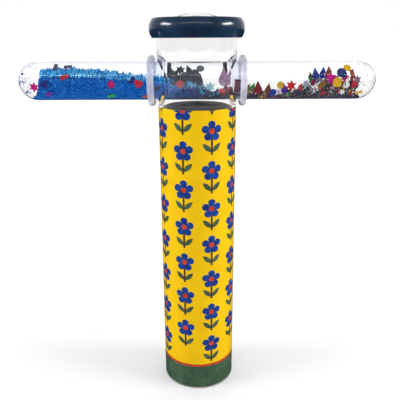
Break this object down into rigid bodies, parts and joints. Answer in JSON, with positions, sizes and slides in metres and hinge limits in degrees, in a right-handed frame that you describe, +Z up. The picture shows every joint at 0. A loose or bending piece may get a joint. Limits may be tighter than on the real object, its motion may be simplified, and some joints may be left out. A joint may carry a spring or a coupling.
{
  "type": "wand kaleidoscope",
  "caption": "Wand kaleidoscope: a clear tube with a printed sleeve and mirrors inside, and an oil-filled wand of glitter that turns and slides across its top.",
  "frame": {"origin": "centre of the round foot, on the surface that the kaleidoscope stands on", "axes": "+Z up the tube towards the domed window, X along the wand, -Y towards the front of the print"},
  "size_m": [0.1532, 0.0402, 0.1733],
  "materials": {
    "clear_acrylic": "clear polished acrylic",
    "printed_paper": "offset print, gloss varnish",
    "black_plastic": "moulded, satin",
    "lens_acrylic": "polished",
    "black_card": "black rolled card",
    "grey_foam": "open-cell foam",
    "mirror_glass": "front-surface mirror",
    "black_tape": "cloth tape",
    "dark_ring": "moulded, high gloss",
    "soft_ring": "translucent soft vinyl",
    "wand_acrylic": "clear polished acrylic",
    "oil": "clear mineral oil",
    "blue_glitter": "fine metallic film flakes",
    "mixed_glitter": "fine mixed film flakes",
    "star_film": "metallic film",
    "heart_film": "metallic film",
    "drop_film": "metallic film",
    "disc_film": "metallic film",
    "sliver_film": "metallic film"
  },
  "bodies": {
    "scope": {"outer_tube": "clear_acrylic", "printed_sleeve": "printed_paper", "eyepiece": "black_plastic", "eye_lens": "lens_acrylic", "lens_retainer": "black_plastic", "inner_tube": "black_card", "foam_ring_bottom": "grey_foam", "foam_ring_top": "grey_foam", "mirror_1": "mirror_glass", "mirror_2": "mirror_glass", "mirror_3": "mirror_glass", "mirror_tape": "black_tape", "mirror_padding": "grey_foam", "object_window": "lens_acrylic", "mirror_mask": "black_plastic", "end_ring": "dark_ring", "end_window": "clear_acrylic", "window_retainer": "clear_acrylic"},
    "grommets": {"grommet_left": "soft_ring", "grommet_right": "soft_ring"},
    "wand": {"wand_tube": "wand_acrylic", "wand_end_cap": "wand_acrylic", "wand_oil": "oil", "blue_glitter": "blue_glitter", "mixed_glitter": "mixed_glitter", "star_confetti": "star_film", "heart_confetti": "heart_film", "drop_confetti": "drop_film", "disc_confetti": "disc_film", "sliver_confetti": "sliver_film"}
  },
  "joints": [
    {"name": "wand_spin", "type": "hinge", "parent": "scope", "child": "grommets", "pos_m": [0, 0, 0.1458], "axis": [1, 0, 0], "continuous": true},
    {"name": "wand_slide", "type": "slide", "parent": "grommets", "child": "wand", "axis": [1, 0, 0], "range_m": [-0.047, 0.047]}
  ]
}
